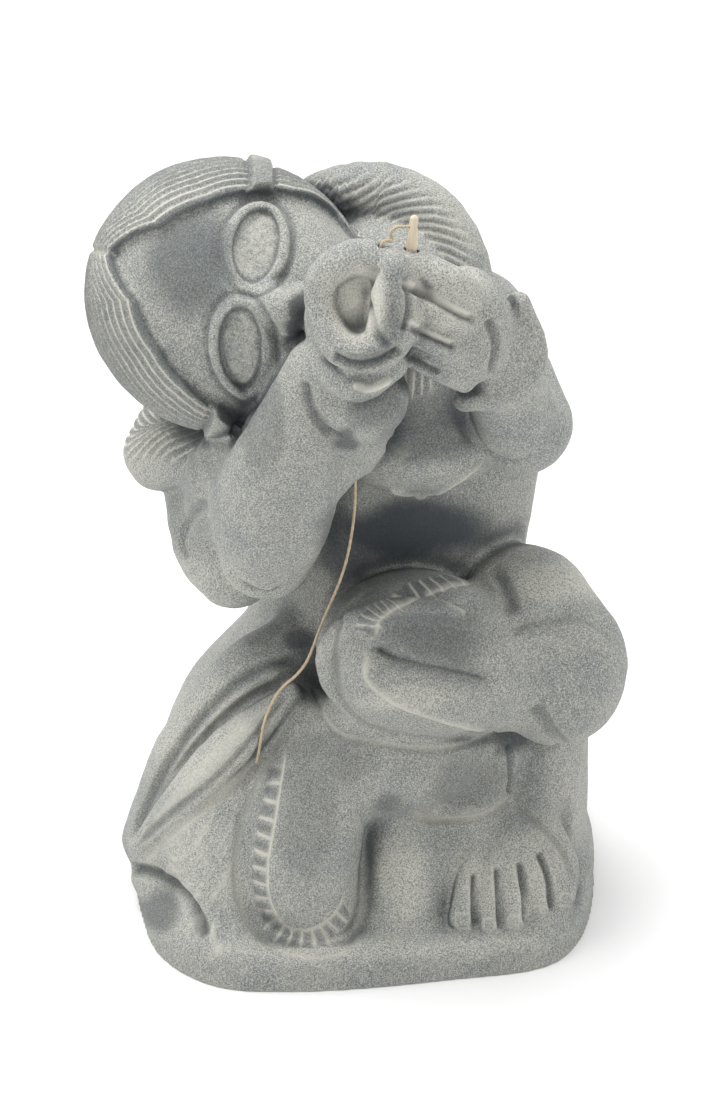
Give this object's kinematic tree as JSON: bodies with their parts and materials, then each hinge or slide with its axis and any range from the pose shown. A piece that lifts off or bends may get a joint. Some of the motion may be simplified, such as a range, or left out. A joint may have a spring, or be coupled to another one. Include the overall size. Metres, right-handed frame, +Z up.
{
  "type": "soapstone man carving",
  "caption": "Kneeling man in a hooded parka carved in grey soapstone on a low base, holding a bone needle and sinew thread before his face.",
  "frame": {"origin": "middle of the flat underside of the base", "axes": "+Z up, the figure's front and its hands towards -Y, its crown leaning towards -X"},
  "size_m": [0.1939, 0.1894, 0.3014],
  "materials": {
    "soapstone": "rubbed matt, blue-grey and speckled, pale dust in the cuts",
    "bone": "scraped and lightly polished bone",
    "sinew": "dry twisted sinew"
  },
  "bodies": {
    "root": {"stone_figure": "soapstone", "bone_needle": "bone", "sinew_loop": "sinew", "sinew_thread": "sinew"}
  },
  "joints": []
}
